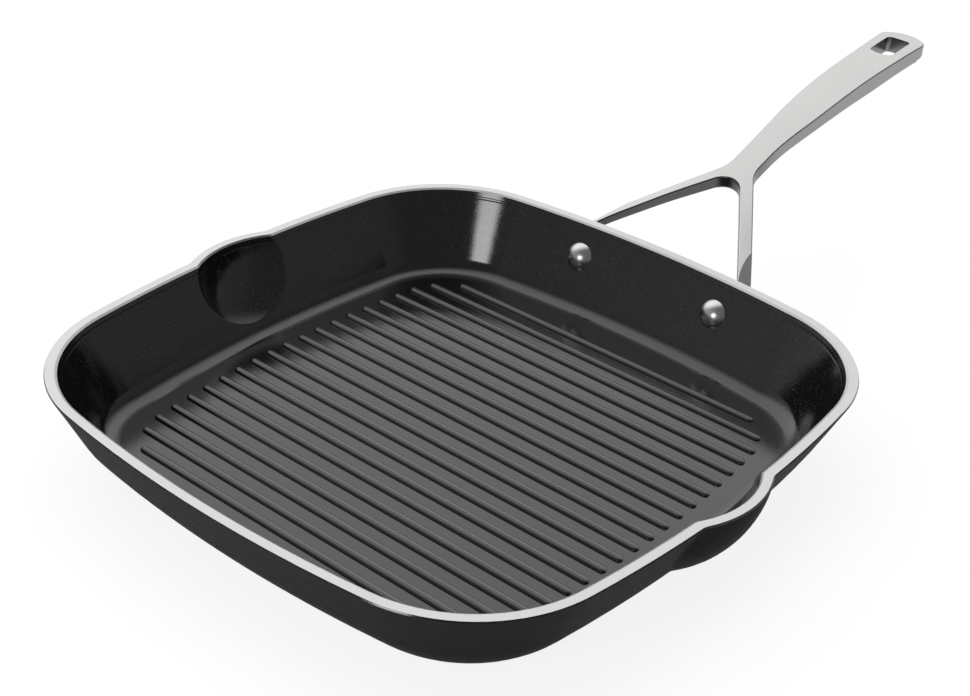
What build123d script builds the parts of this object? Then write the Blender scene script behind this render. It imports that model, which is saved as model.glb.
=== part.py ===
from build123d import *

import math
import os

# Square grill pan with a long forked handle.
# Lengths are in millimetres and angles in degrees. The origin lies at the centre of the
# underside, +Z is up, the handle runs along +Y and the two pouring spouts face +X and -X.

# Pan: outline of the inside edge of the rim
inner_half_x = 136.0
inner_half_y = 138.2
side_bow = 12.8
corner_radius = 60.0

# Pan: depth and walls
pan_height = 40.5
rim_width = 5.3
floor_thickness = 4.0
inner_lean = 25.0
outer_lean = 26.0
inner_floor_radius = 9.5
outer_floor_radius = 27.0
rim_chamfer = 0.7

# Pouring spouts: a spoon-shaped scoop in the wall, with a shell of its own thickness
spout_reach = 5.6
spout_mouth_radius = 42.0
spout_waist_radius = 34.3
spout_waist_drop = 20.0
spout_toe_radius = 18.5
spout_toe_rise = 3.2
spout_shell = 5.0
spout_ridge_round = 2.5
spout_crease_round = 5.0

# Grill ribs
rib_pitch = 9.86
rib_width = 3.8
rib_height = 1.2
rib_root = 1.0
rib_crown_round = 1.1
rib_margin = 8.4
rib_row_margin = 7.5

# Steel plate let into the underside
plate_thickness = 0.8
plate_margin = 9.0
plate_fit = 0.05
plate_edge_round = 0.25

# Rivets, one at each handle foot
rivet_x = 38.5
rivet_drop = 14.6
rivet_head_radius = 6.6
rivet_head_height = 3.0
rivet_shank_radius = 3.0
rivet_tail_radius = 4.6
rivet_tail_height = 1.4
rivet_fit = 0.05

# Handle: the fork
leg_run = 62.0
leg_spread = 35.2
leg_width = 6.5
leg_turn_out = 1.0
leg_turn_radius = 8.0
crotch_back = 3.3
crotch_radius = 9.5
shoulder_radius = 15.0
leg_crown_radius = 80.0
facet_drop = 4.0
facet_inner_share = 0.3
facet_first_station = 3
facet_last_station = 1
block_margin = 4.0

# Handle: the feet
foot_width = 22.0
foot_height = 23.0
foot_thickness = 4.6
foot_corner_radius = 6.0
foot_edge_round = 1.2
foot_seat_gap = 0.1

# Handle: the grip
grip_run = 147.8
neck_half_width = 7.4
neck_run = 10.0
swell_half_width = 9.8
swell_run = 46.0
palm_half_width = 11.1
palm_run = 76.0
end_half_width = 13.0
end_flare_share = 0.05
grip_thickness = 8.9
end_bow = 4.2
end_corner_radius = 5.5
end_under_round = 5.0
top_edge_round = 0.7
under_edge_round = 1.0

# Handle: its top face from the side. Each station gives the share of the way from the rim
# to the end, of the rise from the rim to the end, of the grip's thickness, and of the curve
# across the legs, which leave their top faces level across their own width.
handle_rise = 49.6
place_shares = (-0.03, 0.02, 0.065, 0.128, 0.195, 0.258, 0.304, 0.383, 0.47, 0.558, 0.653, 0.759, 0.875, 1.01)
rise_shares = (-0.12, -0.028, 0.06, 0.171, 0.284, 0.386, 0.461, 0.577, 0.676, 0.765, 0.846, 0.91, 0.96, 0.998)
thickness_shares = (0.48, 0.51, 0.54, 0.585, 0.655, 0.73, 0.775, 0.79, 0.81, 0.86, 0.96, 1.02, 0.94, 0.87)
crown_shares = (0.58, 0.6, 0.67, 0.9, 0.95, 0.8, 0.6, 0.5, 0.45, 0.4, 0.4, 0.4, 0.4, 0.4)

# Handle: the hanging hole
hole_half_width = 6.6
hole_length = 18.8
hole_end_wall = 8.6
hole_near_bow = 2.0
hole_corner_radius = 2.2

# Spare length of every cut past the faces that it opens
overrun = 2.0
# A face counts as facing one way when this share of its unit normal points there
level_share = 0.5

rim_half_y = inner_half_y + rim_width
floor_top = floor_thickness
wall_depth = pan_height - floor_top
corner_x = inner_half_x - side_bow
corner_y = inner_half_y - side_bow
inner_slope = math.tan(math.radians(inner_lean))
outer_slope = math.tan(math.radians(outer_lean))


# The sides of the rim are wide arcs, each about a centre on the far side of the pan
bow_radius_x = (corner_y**2 + side_bow**2) / (2 * side_bow)
bow_radius_y = (corner_x**2 + side_bow**2) / (2 * side_bow)
bow_centre_x = Vector(inner_half_x - bow_radius_x, 0)
bow_centre_y = Vector(0, inner_half_y - bow_radius_y)


def sharp_corner(grow):
    """Where the grown +X and +Y sides would meet if the corner between them were sharp."""
    radius_x = bow_radius_x + grow
    radius_y = bow_radius_y + grow
    apart = (bow_centre_y - bow_centre_x).length
    direction = (bow_centre_y - bow_centre_x).normalized()
    along = (radius_x**2 - radius_y**2 + apart**2) / (2 * apart)
    across = math.sqrt(radius_x**2 - along**2)
    return bow_centre_x + direction * along + direction.rotate(Axis.Z, 90) * across


def rim_outline(grow):
    """Bowed square with rounded corners, grown outwards from the inside edge of the rim."""
    half_x = inner_half_x + grow
    half_y = inner_half_y + grow
    x, y, _ = sharp_corner(grow)
    with BuildSketch() as outline:
        with BuildLine():
            ThreePointArc((x, -y), (half_x, 0), (x, y))
            ThreePointArc((x, y), (0, half_y), (-x, y))
            ThreePointArc((-x, y), (-half_x, 0), (-x, -y))
            ThreePointArc((-x, -y), (0, -half_y), (x, -y))
        make_face()
        fillet(outline.vertices(), radius=corner_radius + grow)
    return outline.sketch


# The walls and the spouts are made past the rim and trimmed there. This plane faces down,
# so that an extrusion from it runs to the base.
over_rim_z = pan_height + overrun
over_rim = Plane(origin=(0, 0, over_rim_z), x_dir=(1, 0, 0), z_dir=(0, 0, -1))

# The scoop of one spout turns about an upright axis inside the pan. Its profile is one arc
# through a mouth at the rim, a waist and a toe just above the floor.
spout_axis_x = inner_half_x + spout_reach - spout_mouth_radius
spout_axis = Axis((spout_axis_x, 0, 0), (0, 0, 1))
spout_mouth = Vector(spout_axis_x + spout_mouth_radius, pan_height)
spout_waist = Vector(spout_axis_x + spout_waist_radius, pan_height - spout_waist_drop)
spout_toe = Vector(spout_axis_x + spout_toe_radius, floor_top + spout_toe_rise)
spout_arc = ThreePointArc(spout_mouth, spout_waist, spout_toe)


def spout_profile(grow):
    """Half section of the scoop, from its axis to an arc grown outwards by the shell."""
    centre = spout_arc.arc_center
    radius = spout_arc.radius + grow
    top = Vector(centre.X + math.sqrt(radius**2 - (over_rim_z - centre.Y) ** 2), over_rim_z)
    waist = centre + (spout_waist - centre).normalized() * radius
    toe = centre + (spout_toe - centre).normalized() * radius
    with BuildSketch() as profile:
        with BuildLine():
            ThreePointArc(top, waist, toe)
            Polyline(toe, (spout_axis_x, toe.Y), (spout_axis_x, over_rim_z), top)
        make_face()
    return profile.sketch


def bowl(grow, shell, depth, lean, floor_radius, spout_radius):
    """Leaning walls, a round crease at the bottom and a spout on each side, as one solid."""
    past_rim = overrun * math.tan(math.radians(lean))
    with BuildPart() as body:
        with BuildSketch(over_rim):
            add(rim_outline(grow + past_rim))
        extrude(amount=depth + overrun, taper=lean)
        fillet(body.faces().sort_by(Axis.Z)[0].edges(), radius=floor_radius)
        for facing in (1, -1):
            section = Plane(origin=(0, 0, 0), x_dir=(facing, 0, 0), z_dir=(0, -facing, 0))
            with BuildSketch(section):
                add(spout_profile(shell))
            revolve(axis=Axis((facing * spout_axis_x, 0, 0), (0, 0, 1)))
        rising = body.edges().filter_by(GeomType.BSPLINE).filter_by(Plane.XY, reverse=True)
        spout_sides = rising.filter_by(
            lambda edge: abs(edge.center().X) > spout_axis_x
            and abs(edge.center().Y) < spout_mouth_radius
        )
        fillet(spout_sides, radius=spout_radius)
    return body.part


# The cavity is taken out of the blank, which is the outside of the pan
cavity = bowl(
    0, 0, wall_depth, inner_lean, inner_floor_radius, spout_ridge_round
)
blank = bowl(
    rim_width, spout_shell, pan_height, outer_lean, outer_floor_radius, spout_crease_round
)

# Ribs: each ends on an outline that follows the foot of the walls at a margin
crease_inset = inner_slope * wall_depth + inner_floor_radius * math.tan(
    math.radians((90 - inner_lean) / 2)
)
rib_field = rim_outline(-crease_inset - rib_margin).face()
ribs_each_way = int((inner_half_y - crease_inset - rib_margin - rib_row_margin) / rib_pitch)
rib_places = [index * rib_pitch for index in range(-ribs_each_way, ribs_each_way + 1)]
rib_lines = [Edge.make_line((-inner_half_x, y), (inner_half_x, y)) for y in rib_places]
rib_lengths = [line.intersect(rib_field).edges()[0].length for line in rib_lines]
with BuildPart() as ribs:
    with BuildSketch(Plane.XY.offset(floor_top - rib_root)):
        for rib_y, rib_length in zip(rib_places, rib_lengths):
            with Locations((0, rib_y)):
                SlotOverall(rib_length, rib_width)
    extrude(amount=rib_root + rib_height)
    fillet(ribs.faces().filter_by(Axis.Z).group_by(Axis.Z)[-1].edges(), radius=rib_crown_round)

# Base plate: it lies in a pocket of the underside, flush with it
base_inset = outer_slope * pan_height + outer_floor_radius * math.tan(
    math.radians((90 - outer_lean) / 2)
)
plate_grow = rim_width - base_inset - plate_margin
with BuildPart() as induction_base:
    with BuildSketch():
        add(rim_outline(plate_grow))
    extrude(amount=plate_thickness)
    fillet(induction_base.faces().sort_by(Axis.Z)[0].edges(), radius=plate_edge_round)
induction_base.part.label = "induction_base"

# Place of a rivet: on the inside face of the wall, square to it, pointing out of the pan
rivet_z = pan_height - rivet_drop
rivet_turn = math.asin(rivet_x / (bow_radius_y - inner_slope * rivet_drop))


def side_y(x, z, grow, slope):
    """Face of the +Y wall at a place along it and a height."""
    radius = bow_radius_y + grow - slope * (pan_height - z)
    return bow_centre_y.Y + math.sqrt(radius**2 - x**2)


def rivet_plane(side):
    """Plane on the inside of the wall at one rivet, with its normal out of the pan."""
    lean = math.radians(inner_lean)
    turn = rivet_turn * side
    normal = (
        math.sin(turn) * math.cos(lean),
        math.cos(turn) * math.cos(lean),
        -math.sin(lean),
    )
    origin = (side * rivet_x, side_y(rivet_x, rivet_z, 0, inner_slope), rivet_z)
    return Plane(origin=origin, x_dir=(math.cos(turn), -math.sin(turn), 0), z_dir=normal)


wall_thickness = math.cos(math.radians(inner_lean)) * (
    side_y(rivet_x, rivet_z, rim_width, outer_slope) - side_y(rivet_x, rivet_z, 0, inner_slope)
)
foot_face = wall_thickness + foot_seat_gap + foot_thickness

# Pan: the blank less the cavity, with the ribs, the plate pocket and the rivet holes
with BuildPart() as pan_body:
    add(blank)
    with Locations((0, 0, pan_height)):
        Box(
            3 * inner_half_x,
            3 * inner_half_y,
            2 * overrun,
            align=(Align.CENTER, Align.CENTER, Align.MIN),
            mode=Mode.SUBTRACT,
        )
    add(cavity, mode=Mode.SUBTRACT)
    rim_edge = pan_body.edges().group_by(Axis.Z)[-1]
    chamfer(rim_edge, length=rim_chamfer)
    add(ribs.part)
    with BuildSketch():
        add(rim_outline(plate_grow + plate_fit))
    extrude(amount=plate_thickness + plate_fit, mode=Mode.SUBTRACT)
    for side in (1, -1):
        with BuildSketch(rivet_plane(side)):
            Circle(rivet_shank_radius + rivet_fit)
        extrude(amount=wall_thickness + overrun, both=True, mode=Mode.SUBTRACT)
pan_body.part.label = "pan_body"


# Places along the handle, from the rim and the wall that carry it
spread_slope = math.tan(math.radians(leg_spread))
leg_across = leg_width / math.cos(math.radians(leg_spread))
foot_y = side_y(rivet_x, rivet_z, 0, inner_slope)
turn_y = rim_half_y + leg_turn_out
join_y = rim_half_y + leg_run
crotch_y = join_y - crotch_back
meeting_y = crotch_y + leg_across / 2 / spread_slope
shoulder_y = crotch_y + (leg_across - neck_half_width) / spread_slope
neck_y = join_y + neck_run
end_y = join_y + grip_run
end_z = pan_height + handle_rise
end_corner_y = end_y - end_bow
end_bow_radius = (end_half_width**2 + end_bow**2) / (2 * end_bow)
end_bow_centre_y = end_y - end_bow_radius
turn_x = (crotch_y - turn_y) * spread_slope
block_half_x = turn_x + leg_across + block_margin


def nearest(shapes, *points):
    """The member of a list of shapes that lies nearest to each of some points."""
    return [shapes.sort_by_distance(point)[0] for point in points]


def arc_drop(radius, reach):
    """How far an arc falls from its crown over a reach to one side."""
    return radius - math.sqrt(radius**2 - reach**2)


# Block between the top and the underside of the handle: a loft through arched sections
with BuildPart() as block:
    for place, rise, thickness, crown in zip(
        place_shares, rise_shares, thickness_shares, crown_shares
    ):
        station_y = rim_half_y + place * (end_y - rim_half_y)
        crown_radius = leg_crown_radius / crown
        leg_x = max(0, (meeting_y - station_y) * spread_slope)
        ridge_z = pan_height + rise * handle_rise + arc_drop(crown_radius, leg_x)
        side_z = ridge_z - arc_drop(crown_radius, block_half_x)
        depth = thickness * grip_thickness
        with BuildSketch(Plane.XZ.offset(-station_y)):
            with BuildLine():
                ThreePointArc((-block_half_x, side_z), (0, ridge_z), (block_half_x, side_z))
                Line((block_half_x, side_z), (block_half_x, side_z - depth))
                ThreePointArc(
                    (block_half_x, side_z - depth),
                    (0, ridge_z - depth),
                    (-block_half_x, side_z - depth),
                )
                Line((-block_half_x, side_z - depth), (-block_half_x, side_z))
            make_face()
    loft()

# The underside of the end rounds up along the bow of the end
end_under_z = end_z - thickness_shares[-1] * grip_thickness
with BuildPart() as end_rounding:
    with BuildSketch(Plane.XZ.offset(-end_bow_centre_y)):
        with BuildLine():
            round_start = (end_bow_radius - end_under_round, end_under_z)
            round_end = (end_bow_radius, end_under_z + end_under_round)
            RadiusArc(round_start, round_end, -end_under_round)
            Polyline(
                round_end,
                (end_bow_radius + overrun, end_under_z + end_under_round),
                (end_bow_radius + overrun, end_under_z - overrun),
                (end_bow_radius - end_under_round, end_under_z - overrun),
                round_start,
            )
        make_face()
    revolve(axis=Axis((0, end_bow_centre_y, 0), (0, 0, 1)), revolution_arc=180)


def leg_point(station, share, drop):
    """Point on the +X leg: a station, a share of its width outwards, a drop from its top."""
    y = rim_half_y + place_shares[station] * (end_y - rim_half_y)
    z = pan_height + rise_shares[station] * handle_rise - drop
    x = turn_x - (y - turn_y) * spread_slope + share * leg_across
    return Vector(x, y, z)


# A flat facet slants across the outer top edge of each leg and widens towards the wall
facet_start = leg_point(facet_first_station, 1, 0)
facet_inner = leg_point(facet_last_station, facet_inner_share, 0)
facet_outer = leg_point(facet_last_station, 1, facet_drop)
facet_along = facet_inner - facet_start
facet = Plane(
    origin=facet_start,
    x_dir=facet_along,
    z_dir=facet_along.cross(facet_outer - facet_start),
)
with BuildPart() as facets:
    with BuildSketch(facet):
        Rectangle(2 * facet_along.length, 2 * leg_across, align=(Align.MIN, Align.CENTER))
    extrude(amount=leg_across)
    mirror(about=Plane.YZ)

# Plan of the handle: the fork, the neck, the swelling grip and the bowed end
with BuildSketch() as plan:
    with BuildLine():
        neck = (neck_half_width, neck_y)
        swell = (swell_half_width, join_y + swell_run)
        palm = (palm_half_width, join_y + palm_run)
        end_corner = (end_half_width, end_corner_y)
        Polyline(
            (0, crotch_y),
            (turn_x, turn_y),
            (turn_x, foot_y),
            (turn_x + leg_across, foot_y),
            (turn_x + leg_across, turn_y),
            (neck_half_width, shoulder_y),
            neck,
        )
        Spline(neck, swell, palm, end_corner, tangents=[(0, 1), (end_flare_share, 1)])
        mirror(about=Plane.YZ)
        ThreePointArc(end_corner, (0, end_y), (-end_half_width, end_corner_y))
    make_face()
    corners = plan.vertices()
    fillet(nearest(corners, (0, crotch_y)), radius=crotch_radius)
    shoulders = nearest(plan.vertices(), (neck_half_width, shoulder_y), (-neck_half_width, shoulder_y))
    fillet(shoulders, radius=shoulder_radius)
    ends = nearest(plan.vertices(), end_corner, (-end_half_width, end_corner_y))
    fillet(ends, radius=end_corner_radius)
    turns = nearest(
        plan.vertices(),
        (turn_x, turn_y),
        (-turn_x, turn_y),
        (turn_x + leg_across, turn_y),
        (-turn_x - leg_across, turn_y),
    )
    fillet(turns, radius=leg_turn_radius)

# Hanging hole: a rounded rectangle with a bowed near end
hole_far_y = end_y - hole_end_wall
hole_near_y = hole_far_y - hole_length
with BuildSketch() as hole:
    with BuildLine():
        Polyline(
            (hole_half_width, hole_near_y),
            (hole_half_width, hole_far_y),
            (-hole_half_width, hole_far_y),
            (-hole_half_width, hole_near_y),
        )
        ThreePointArc(
            (-hole_half_width, hole_near_y),
            (0, hole_near_y - hole_near_bow),
            (hole_half_width, hole_near_y),
        )
    make_face()
    fillet(hole.vertices(), radius=hole_corner_radius)

seat = bowl(
    rim_width + foot_seat_gap,
    spout_shell,
    pan_height,
    outer_lean,
    outer_floor_radius,
    spout_crease_round,
)
with BuildPart() as handle:
    add(block)
    extrude(plan.sketch, amount=end_z + overrun, mode=Mode.INTERSECT)
    top_faces = handle.faces().filter_by(lambda face: face.normal_at().Z > level_share)
    fillet(top_faces.edges().filter_by(Axis.X, reverse=True), radius=top_edge_round)
    under_faces = handle.faces().filter_by(lambda face: face.normal_at().Z < -level_share)
    fillet(under_faces.edges().filter_by(Axis.X, reverse=True), radius=under_edge_round)
    extrude(hole.sketch, amount=end_z + overrun, mode=Mode.SUBTRACT)
    add(facets, mode=Mode.SUBTRACT)
    add(end_rounding, mode=Mode.SUBTRACT)
    with BuildPart(mode=Mode.PRIVATE) as feet:
        for side in (1, -1):
            with BuildSketch(rivet_plane(side)):
                RectangleRounded(foot_width, foot_height, foot_corner_radius)
            extrude(amount=foot_face)
        outer_faces = feet.faces().filter_by(lambda face: face.normal_at().Y > level_share)
        fillet(outer_faces.edges(), radius=foot_edge_round)
    add(feet)
    add(seat, mode=Mode.SUBTRACT)
    for side in (1, -1):
        with BuildSketch(rivet_plane(side)):
            Circle(rivet_shank_radius + rivet_fit)
        extrude(amount=foot_face + overrun, mode=Mode.SUBTRACT)
handle.part.label = "handle"

# Rivet, drawn along +Z: a domed head below the inside wall, a shank and a tail on the foot
with BuildPart() as rivet:
    with BuildSketch(Plane.XZ):
        with BuildLine():
            head_top = (0, -rivet_fit - rivet_head_height)
            head_edge = (rivet_head_radius, -rivet_fit)
            tail_edge = (rivet_tail_radius, foot_face)
            tail_top = (0, foot_face + rivet_tail_height)
            TangentArc(head_top, head_edge, tangent=(1, 0))
            Polyline(
                head_edge,
                (rivet_shank_radius, -rivet_fit),
                (rivet_shank_radius, foot_face),
                tail_edge,
            )
            TangentArc(tail_top, tail_edge, tangent=(1, 0))
            Line(tail_top, head_top)
        make_face()
    revolve(axis=Axis.Z)

with BuildPart() as rivet_left:
    with Locations(rivet_plane(-1)):
        add(rivet)
rivet_left.part.label = "rivet_left"

with BuildPart() as rivet_right:
    with Locations(rivet_plane(1)):
        add(rivet)
rivet_right.part.label = "rivet_right"

os.makedirs("parts", exist_ok=True)
export_step(pan_body.part, "parts/pan_body.step")
export_step(induction_base.part, "parts/induction_base.step")
export_step(handle.part, "parts/handle.step")
export_step(rivet_left.part, "parts/rivet_left.step")
export_step(rivet_right.part, "parts/rivet_right.step")
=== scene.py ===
import math
from functools import reduce

import bpy
from mathutils import Matrix, Vector

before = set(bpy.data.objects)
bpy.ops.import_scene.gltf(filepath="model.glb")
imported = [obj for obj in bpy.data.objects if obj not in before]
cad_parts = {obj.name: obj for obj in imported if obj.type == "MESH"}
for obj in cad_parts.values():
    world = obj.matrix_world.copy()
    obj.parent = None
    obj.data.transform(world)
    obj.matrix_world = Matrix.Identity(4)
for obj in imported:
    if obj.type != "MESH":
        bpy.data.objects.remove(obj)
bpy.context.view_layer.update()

# Places and sizes are in metres and angles in degrees. Greys, roughness, shares and strengths
# run from 0 to 1. A scale is about how often a pattern repeats in a metre, and three scales
# are one for each axis. A facing says how far a surface faces up, from -1 for down to 1 for
# up. A pair is a range.

# Camera: its focal length in pixels of a frame as wide as the photograph, its angles, the
# point that it looks at and how far away that is
camera_focal_px = 1802.165
frame_width_px = 970
sensor_width_mm = 36.0
camera_azimuth = 39.654
camera_elevation = 30.857
camera_roll = 2.894
camera_target = Vector((-0.041552, 0.067232, 0.0005))
camera_distance = 0.830406
camera_clip_start = 0.01

# Pan: where its finishes meet, and the tops of its floor and ribs
rim_edge = 0.0398
rim_edge_blur = 0.0001
rim_facing = (0.55, 0.97)
inside_facing = (-0.08, -0.03)
floor_top = 0.004
rib_top = 0.0052

# Ribs: their pitch, and the smooth dome that each crown is shaded as, with its peak's distance
# from the rib's middle, its radius and the share that the solid's own slope keeps. Then the
# heights where a rib's shading begins and ends, the rounded square that holds all ribs, and
# the painted highlight, a pale line painted along each crest.
rib_pitch = 0.00986
rib_peak = 0.0005
rib_crown = 0.0038
rib_slope_share = 0.5
rib_foot_heights = (floor_top + 0.0002, floor_top + 0.0004)
rib_head_heights = (rib_top + 0.0001, rib_top + 0.0002)
rib_field_reach = 0.108
rib_field_squareness = 6.0
crest_highlight_half_widths = (0.0002, 0.0007)
crest_highlight_grey = 0.10

# Non-stick coating, its pale flecks, which come in patches and are fainter on the floor, the
# groove below the rim, the overspray above the groove, and its orange peel. The flecks' radii
# are in cells of their pattern, and their picks are limits to each cell's random number.
coat_greys = (0.006, 0.010)
coat_cloud_scale = 35.0
coat_roughness = (0.10, 0.13)
coat_gloss_scale = 420.0
coat_ior = 1.75
fleck_scale = 1450.0
fleck_picks = (0.5, 0.7)
fleck_radii = (0.16, 0.34)
fleck_grey = 0.15
fleck_patch_scale = 60.0
fleck_patch_edges = (0.35, 0.65)
fleck_patch_shares = (0.45, 1.0)
fleck_wall_heights = (0.006, 0.014)
fleck_wall_shares = (0.3, 1.0)
groove_height = 0.0373
groove_half_widths = (0.0002, 0.0008)
groove_strength = 0.4
groove_depth = 0.00016
overspray_rise = 0.0015
overspray_share = 0.12
overspray_grey = 0.030
peel_scale = 2600.0
peel_strength = 0.05
peel_depth = 0.0004

# Paint on the outside, with a fine tooth
paint_greys = (0.032, 0.040)
paint_cloud_scale = 25.0
paint_roughness = (0.55, 0.62)
paint_gloss_scale = 300.0
paint_ior = 1.4
paint_specular_level = 0.02
tooth_scale = 1500.0
tooth_strength = 0.15
tooth_depth = 0.0003

# Bare metal of the rim, with the cutter's marks
rim_greys = (0.62, 0.67)
rim_cloud_scale = 90.0
rim_roughness = (0.36, 0.46)
rim_mark_scale = 2200.0
rim_mark_strength = 0.05

# Handle: its top, its sides, which carry painted shade that makes them darker than the top and
# darker along the legs than along the grip, and the zone in the grip that holds the hanging hole,
# which is painted darker as shade
handle_top_facing = (0.62, 0.84)
handle_top_greys = (0.57, 0.63)
handle_top_warmth = 0.012
handle_top_roughness = (0.34, 0.42)
leg_shade_greys = (0.09, 0.13)
grip_shade_greys = (0.26, 0.31)
leg_to_grip_y = (0.190, 0.230)
handle_side_warmth = 0.01
handle_side_roughness = (0.22, 0.28)
hole_zone_half_width = 0.0075
hole_zone_y = (0.31, 0.3475)
hole_shade_grey = 0.22
handle_cloud_scale = 28.0
handle_grain_scales = (2600.0, 160.0, 2600.0)
handle_grain_strength = 0.04

# Rivets
rivet_greys = (0.66, 0.72)
rivet_warmth = 0.005
rivet_cloud_scale = 300.0
rivet_roughness = (0.24, 0.30)
rivet_grain_scales = (900.0, 900.0, 3000.0)
rivet_grain_strength = 0.03

# Plate in the underside, ground along X
plate_greys = (0.52, 0.60)
plate_warmth = 0.006
plate_cloud_scale = 20.0
plate_roughness = (0.30, 0.46)
plate_grain_scales = (120.0, 3000.0, 3000.0)
plate_grain_strength = 0.06

# Noise: its layers of detail, how rough and how deep a metal's grain is, and the middle part
# of a pattern's range, over which it changes a roughness
noise_detail = 3.0
low_noise_detail = 2.0
grain_noise_roughness = 0.6
grain_depth = 0.0001
pattern_middle = (0.3, 0.7)

# White floor: its grey for the light that it sends on, and its grey and glow where it is seen
floor_size = 60
floor_lit_grey = 0.85
floor_seen_grey = 0.26
floor_glow = 0.87

# Room light, as the camera sees it: a bright area high behind the pan in a dim room, and faint
# glows on the horizon at the right and the left, which leave out their directions' height.
# Each has a direction, the cosines of the angle to it between which the light grows, and the
# light at these.
room_level = 0.14
back_direction = Vector((-0.60, 0.42, 0.68))
back_cosines = (0.50, 0.86)
back_levels = (room_level, 1.16)
right_direction = Vector((0.74, 0.66, 0.09))
right_cosines = (0.6, 1.0)
right_levels = (0.0, 0.08)
left_direction = Vector((-0.95, -0.30, 0.10))
left_cosines = (0.3, 1.0)
left_levels = (0.0, 0.22)

# Lamp on the side away from the handle: its place, the point that it shines at, its own width
# and height, and its power
lamp_place = Vector((0.02, -1.25, 0.50))
lamp_target = Vector((-0.05, 0.1, 0.03))
lamp_width = 0.46
lamp_height = 0.34
lamp_watts = 2.6


class NodeTree:
    """Short names for building the node tree of a material or of the world."""

    # Each kind of value has its own first input and its own output on a Mix node
    mix_sockets = {"FLOAT": (2, 0), "VECTOR": (4, 1), "RGBA": (6, 2)}

    def __init__(self, owner):
        owner.use_nodes = True
        self.owner = owner
        self.nodes = owner.node_tree.nodes
        self.links = owner.node_tree.links
        self.nodes.clear()
        coordinates = self.add("TexCoord")
        self.place = coordinates["Object"]
        self.ray_direction = coordinates["Generated"]
        self.normal = self.add("NewGeometry")["Normal"]

    def add(self, kind, inputs=None, **settings):
        """Add a node, feed its inputs by name or number, and give back its outputs."""
        node = self.nodes.new("ShaderNode" + kind)
        for name, value in settings.items():
            setattr(node, name, value)
        for key, source in (inputs or {}).items():
            if isinstance(source, bpy.types.NodeSocket):
                self.links.new(source, node.inputs[key])
            else:
                node.inputs[key].default_value = source
        return node.outputs

    def math(self, operation, *values):
        return self.add("Math", dict(enumerate(values)), operation=operation)[0]

    def total(self, *values):
        return reduce(lambda a, b: self.math("ADD", a, b), values)

    def product(self, *values):
        return reduce(lambda a, b: self.math("MULTIPLY", a, b), values)

    def axis(self, vector, name):
        return self.add("SeparateXYZ", {0: vector})[name]

    def unit_vector(self, x, y, z):
        vector = self.add("CombineXYZ", {0: x, 1: y, 2: z})[0]
        return self.add("VectorMath", {0: vector}, operation="NORMALIZE")[0]

    def ramp(self, value, edges, levels=(0.0, 1.0)):
        """Go smoothly from one level to the other as the value goes from edge to edge."""
        inputs = {
            "Value": value,
            "From Min": edges[0],
            "From Max": edges[1],
            "To Min": levels[0],
            "To Max": levels[1],
        }
        return self.add("MapRange", inputs, interpolation_type="SMOOTHSTEP")["Result"]

    def fade(self, value, edges):
        return self.ramp(value, edges, (1.0, 0.0))

    def spread(self, pattern, levels):
        return self.ramp(pattern, pattern_middle, levels)

    def noise(self, scale, detail=noise_detail):
        inputs = {"Vector": self.place, "Scale": scale, "Detail": detail}
        return self.add("TexNoise", inputs)["Fac"]

    def grain(self, scales):
        """Noise with a scale of its own along each axis, so that it runs in lines."""
        inputs = {
            "Vector": self.add("VectorMath", {0: self.place, 1: scales}, operation="MULTIPLY")[0],
            "Scale": 1.0,
            "Detail": noise_detail,
            "Roughness": grain_noise_roughness,
        }
        return self.add("TexNoise", inputs)["Fac"]

    def cells(self, scale):
        outputs = self.add("TexVoronoi", {"Vector": self.place, "Scale": scale})
        return outputs["Distance"], outputs["Color"]

    def mix(self, share, a, b, kind="RGBA"):
        first, result = self.mix_sockets[kind]
        return self.add("Mix", {0: share, first: a, first + 1: b}, data_type=kind)[result]

    def mix_greys(self, share, levels, warmth=0.0):
        return self.mix(share, grey(levels[0], warmth), grey(levels[1], warmth))

    def bump(self, height, strength, depth, under=None):
        inputs = {"Height": height, "Strength": strength, "Distance": depth}
        if under is not None:
            inputs["Normal"] = under
        return self.add("Bump", inputs)["Normal"]

    def principled(self, colour, roughness, normal, **constants):
        inputs = {"Base Color": colour, "Roughness": roughness, "Normal": normal}
        for name, value in constants.items():
            inputs[name.replace("_", " ")] = value
        return self.add("BsdfPrincipled", inputs)["BSDF"]

    def metal(self, colour, roughness, grain, strength):
        normal = self.bump(grain, strength, grain_depth)
        return self.principled(colour, roughness, normal, Metallic=1.0)

    def mix_shader(self, share, a, b):
        return self.add("MixShader", {0: share, 1: a, 2: b})[0]

    def finish(self, shader, output="OutputMaterial"):
        self.add(output, {"Surface": shader})
        return self.owner


def grey(level, warmth=0.0):
    return (level * (1 + warmth), level, level * (1 - warmth), 1.0)


def rib_crowns(tree, height):
    """Where the ribs are, how far a place lies off its rib's peak, and the way a crown faces.

    Each crown is shaded as one smooth dome whose peak lies towards the handle.
    """
    pitches = tree.total(tree.math("DIVIDE", tree.axis(tree.place, "Y"), rib_pitch), 0.5)
    off_middle = tree.product(tree.math("SUBTRACT", tree.math("FRACT", pitches), 0.5), rib_pitch)
    off_peak = tree.math("SUBTRACT", off_middle, rib_peak)
    slope_x = tree.product(tree.axis(tree.normal, "X"), rib_slope_share)
    slope_y = tree.product(tree.axis(tree.normal, "Y"), rib_slope_share)
    dome = tree.math("DIVIDE", off_peak, rib_crown)
    crown = tree.unit_vector(slope_x, tree.total(slope_y, dome), 1.0)

    above_floor = tree.ramp(height, rib_foot_heights)
    below_crown = tree.fade(height, rib_head_heights)
    powers = []
    for name in "XY":
        off_centre = tree.math("ABSOLUTE", tree.axis(tree.place, name))
        reach = tree.math("DIVIDE", off_centre, rib_field_reach)
        powers.append(tree.math("POWER", reach, rib_field_squareness))
    in_field = tree.math("LESS_THAN", tree.total(*powers), 1.0)
    on_rib = tree.product(above_floor, below_crown, in_field)
    return on_rib, tree.math("ABSOLUTE", off_peak), crown


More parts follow.
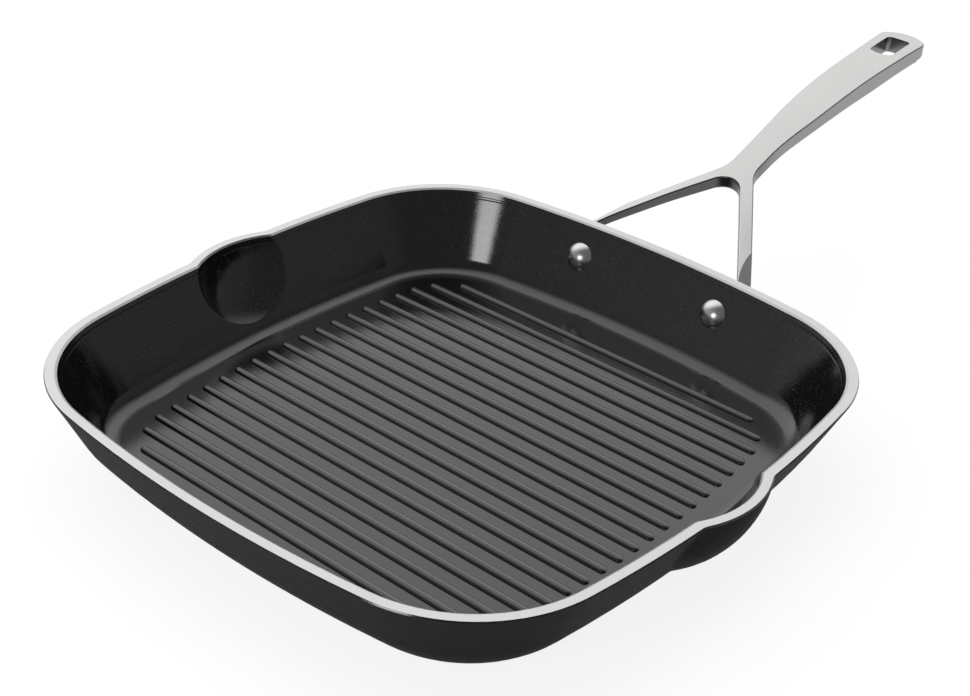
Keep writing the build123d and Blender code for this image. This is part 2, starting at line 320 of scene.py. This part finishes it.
def coating(tree, height):
    """Near-black non-stick coating with pale flecks, a groove and a painted highlight along each
    crest.
    """
    on_rib, off_peak, crown = rib_crowns(tree, height)

    distance, random = tree.cells(fleck_scale)
    picked = tree.ramp(tree.axis(random, "X"), fleck_picks)
    fleck = tree.product(tree.fade(distance, fleck_radii), picked)
    patch_noise = tree.noise(fleck_patch_scale, low_noise_detail)
    patches = tree.ramp(patch_noise, fleck_patch_edges, fleck_patch_shares)
    on_wall = tree.ramp(height, fleck_wall_heights, fleck_wall_shares)
    flecks = tree.product(fleck, patches, on_wall)

    above_groove = tree.ramp(height, (groove_height, groove_height + overspray_rise))
    overspray = tree.product(above_groove, overspray_share)
    # Painted highlight: a pale line painted along each rib's crest
    painted_crest_highlight = tree.product(on_rib, tree.fade(off_peak, crest_highlight_half_widths))
    colour = tree.mix_greys(tree.noise(coat_cloud_scale), coat_greys)
    colour = tree.mix(flecks, colour, grey(fleck_grey))
    colour = tree.mix(overspray, colour, grey(overspray_grey))
    colour = tree.mix(painted_crest_highlight, colour, grey(crest_highlight_grey))

    rough = tree.spread(tree.noise(coat_gloss_scale, low_noise_detail), coat_roughness)
    peel = tree.bump(tree.noise(peel_scale, low_noise_detail), peel_strength, peel_depth)
    off_groove = tree.math("ABSOLUTE", tree.math("SUBTRACT", height, groove_height))
    groove = tree.fade(off_groove, groove_half_widths)
    peel = tree.bump(groove, groove_strength, -groove_depth, peel)
    normal = tree.mix(on_rib, peel, crown, "VECTOR")
    return tree.principled(colour, rough, normal, IOR=coat_ior)


def paint(tree):
    """Matte dark grey paint with a fine tooth."""
    colour = tree.mix_greys(tree.noise(paint_cloud_scale), paint_greys)
    rough = tree.spread(tree.noise(paint_gloss_scale), paint_roughness)
    tooth = tree.bump(tree.noise(tooth_scale, low_noise_detail), tooth_strength, tooth_depth)
    return tree.principled(
        colour, rough, tooth, IOR=paint_ior, Specular_IOR_Level=paint_specular_level
    )


def rim_metal(tree):
    """Satin metal with faint marks of the cutter."""
    marks = tree.noise(rim_mark_scale, low_noise_detail)
    colour = tree.mix_greys(tree.noise(rim_cloud_scale), rim_greys)
    return tree.metal(colour, tree.spread(marks, rim_roughness), marks, rim_mark_strength)


def pan_material():
    """Coating inside, paint outside and bare metal on the rim.

    The walls lean outwards, so what faces up is the inside and what faces down the outside.
    """
    tree = NodeTree(bpy.data.materials.new("pan_coating"))
    height = tree.axis(tree.place, "Z")
    facing_up = tree.axis(tree.normal, "Z")
    at_rim = tree.ramp(height, (rim_edge - rim_edge_blur, rim_edge + rim_edge_blur))
    on_rim = tree.product(at_rim, tree.ramp(facing_up, rim_facing))
    inside = tree.ramp(facing_up, inside_facing)
    skin = tree.mix_shader(inside, paint(tree), coating(tree, height))
    return tree.finish(tree.mix_shader(on_rim, skin, rim_metal(tree)))


def handle_material():
    """Cast steel: satin along the top, smoother down the sides, with shade painted darker down
    the sides and in the hole.
    """
    tree = NodeTree(bpy.data.materials.new("handle_steel"))
    along = tree.axis(tree.place, "Y")
    on_top = tree.ramp(tree.axis(tree.normal, "Z"), handle_top_facing)
    grain = tree.grain(handle_grain_scales)
    cloud = tree.noise(handle_cloud_scale)

    # Painted shade: the sides are painted darker than the top, and darker along the legs than
    # along the grip
    leg_side_shade = tree.mix_greys(cloud, leg_shade_greys, handle_side_warmth)
    grip_side_shade = tree.mix_greys(cloud, grip_shade_greys, handle_side_warmth)
    painted_side_shade = tree.mix(tree.ramp(along, leg_to_grip_y), leg_side_shade, grip_side_shade)
    # Painted shade in the hanging hole: the zone around it is painted a darker grey
    off_centre = tree.math("ABSOLUTE", tree.axis(tree.place, "X"))
    in_hole = tree.product(
        tree.math("LESS_THAN", off_centre, hole_zone_half_width),
        tree.math("GREATER_THAN", along, hole_zone_y[0]),
        tree.math("LESS_THAN", along, hole_zone_y[1]),
    )
    painted_side_shade = tree.mix(in_hole, painted_side_shade, grey(hole_shade_grey))
    top = tree.mix_greys(cloud, handle_top_greys, handle_top_warmth)
    colour = tree.mix(on_top, painted_side_shade, top)

    side_rough = tree.spread(cloud, handle_side_roughness)
    top_rough = tree.spread(grain, handle_top_roughness)
    rough = tree.mix(on_top, side_rough, top_rough, "FLOAT")
    return tree.finish(tree.metal(colour, rough, grain, handle_grain_strength))


def rivet_material():
    """Smooth steel with a faint, fine grain."""
    tree = NodeTree(bpy.data.materials.new("rivet_steel"))
    grain = tree.grain(rivet_grain_scales)
    colour = tree.mix_greys(tree.noise(rivet_cloud_scale), rivet_greys, rivet_warmth)
    rough = tree.spread(grain, rivet_roughness)
    return tree.finish(tree.metal(colour, rough, grain, rivet_grain_strength))


def plate_material():
    """Steel plate in the underside, ground in one direction."""
    tree = NodeTree(bpy.data.materials.new("base_plate"))
    grain = tree.grain(plate_grain_scales)
    colour = tree.mix_greys(tree.noise(plate_cloud_scale), plate_greys, plate_warmth)
    rough = tree.spread(grain, plate_roughness)
    return tree.finish(tree.metal(colour, rough, grain, plate_grain_strength))


def floor_material():
    """White paper: lit as white, and lifted to the photograph's white where it is seen."""
    tree = NodeTree(bpy.data.materials.new("floor_white"))
    lit = tree.add("BsdfDiffuse", {"Color": grey(floor_lit_grey)})[0]
    shaded = tree.add("BsdfDiffuse", {"Color": grey(floor_seen_grey)})[0]
    glow = tree.add("Emission", {"Color": grey(1.0), "Strength": floor_glow})[0]
    lifted = tree.add("AddShader", {0: shaded, 1: glow})[0]
    path = tree.add("LightPath")
    seen = tree.math("MAXIMUM", path["Is Camera Ray"], path["Is Glossy Ray"])
    seen = tree.math("MAXIMUM", seen, path["Is Transmission Ray"])
    return tree.finish(tree.mix_shader(seen, lit, lifted))


def build_world():
    """Dim room with a bright area high behind the pan, and faint glows at the right and left."""
    world = bpy.data.worlds.new("world")
    bpy.context.scene.world = world
    tree = NodeTree(world)

    def glow(direction, axes, cosines, levels):
        """Light that grows towards a direction, of which only the named axes count."""
        parts = [
            tree.product(tree.axis(tree.ray_direction, name), part)
            for name, part in zip(axes, direction.normalized())
        ]
        return tree.ramp(tree.total(*parts), cosines, levels)

    light = tree.total(
        glow(back_direction, "XYZ", back_cosines, back_levels),
        glow(right_direction, "XY", right_cosines, right_levels),
        glow(left_direction, "XY", left_cosines, left_levels),
    )
    tree.finish(tree.add("Background", {"Color": light})[0], "OutputWorld")


def build_lamp():
    data = bpy.data.lights.new("front_strip", "AREA")
    data.shape = "RECTANGLE"
    data.size = lamp_width
    data.size_y = lamp_height
    data.energy = lamp_watts
    lamp = bpy.data.objects.new("front_strip", data)
    bpy.context.scene.collection.objects.link(lamp)
    lamp.location = lamp_place
    lamp.rotation_euler = (lamp_target - lamp_place).to_track_quat("-Z", "Y").to_euler()


def build_camera():
    azimuth = math.radians(camera_azimuth)
    elevation = math.radians(camera_elevation)
    roll = math.radians(camera_roll)
    forward = Vector((
        -math.sin(azimuth) * math.cos(elevation),
        math.cos(azimuth) * math.cos(elevation),
        -math.sin(elevation),
    ))
    right = forward.cross(Vector((0, 0, 1))).normalized()
    up = right.cross(forward)
    right_rolled = right * math.cos(roll) + up * math.sin(roll)
    up_rolled = up * math.cos(roll) - right * math.sin(roll)
    data = bpy.data.cameras.new("camera")
    data.sensor_fit = "HORIZONTAL"
    data.sensor_width = sensor_width_mm
    data.lens = sensor_width_mm * camera_focal_px / frame_width_px
    data.clip_start = camera_clip_start
    camera = bpy.data.objects.new("camera", data)
    bpy.context.scene.collection.objects.link(camera)
    axes = Matrix((right_rolled, up_rolled, -forward)).transposed().to_4x4()
    camera.matrix_world = Matrix.Translation(camera_target - forward * camera_distance) @ axes
    bpy.context.scene.camera = camera


def build_floor():
    bpy.ops.mesh.primitive_plane_add(size=floor_size)
    floor = bpy.context.object
    floor.name = "floor"
    floor.data.materials.append(floor_material())
    return floor


def give(node, material):
    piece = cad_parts[node]
    piece.data.materials.clear()
    piece.data.materials.append(material)


build_camera()
give("pan_body", pan_material())
give("induction_base", plate_material())
give("handle", handle_material())
rivet = rivet_material()
give("rivet_left", rivet)
give("rivet_right", rivet)

floor = build_floor()
build_world()
build_lamp()
bpy.context.scene.view_settings.view_transform = "Standard"
